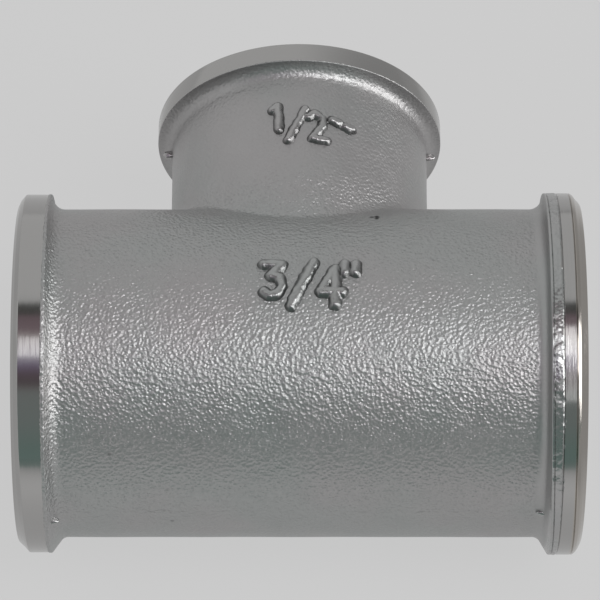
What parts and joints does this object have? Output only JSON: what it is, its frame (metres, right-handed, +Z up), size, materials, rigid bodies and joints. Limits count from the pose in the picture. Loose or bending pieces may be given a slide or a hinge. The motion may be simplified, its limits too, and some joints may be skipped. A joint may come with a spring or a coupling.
{
  "type": "reducing tee pipe fitting",
  "caption": "Female threaded reducing tee: a short run with two equal ports in line and a smaller branch port square to them, joining three pipes.",
  "frame": {"origin": "where the run's centreline and the branch's centreline cross", "axes": "+X along the run, +Y along the branch towards its mouth, +Z up; the tee lies on its two run bands"},
  "size_m": [0.053, 0.0458, 0.034],
  "materials": {
    "plated_brass": "nickel plated, satin forging skin on the outside, bright where it was turned"
  },
  "bodies": {
    "root": {"tee_body": "plated_brass"}
  },
  "joints": []
}
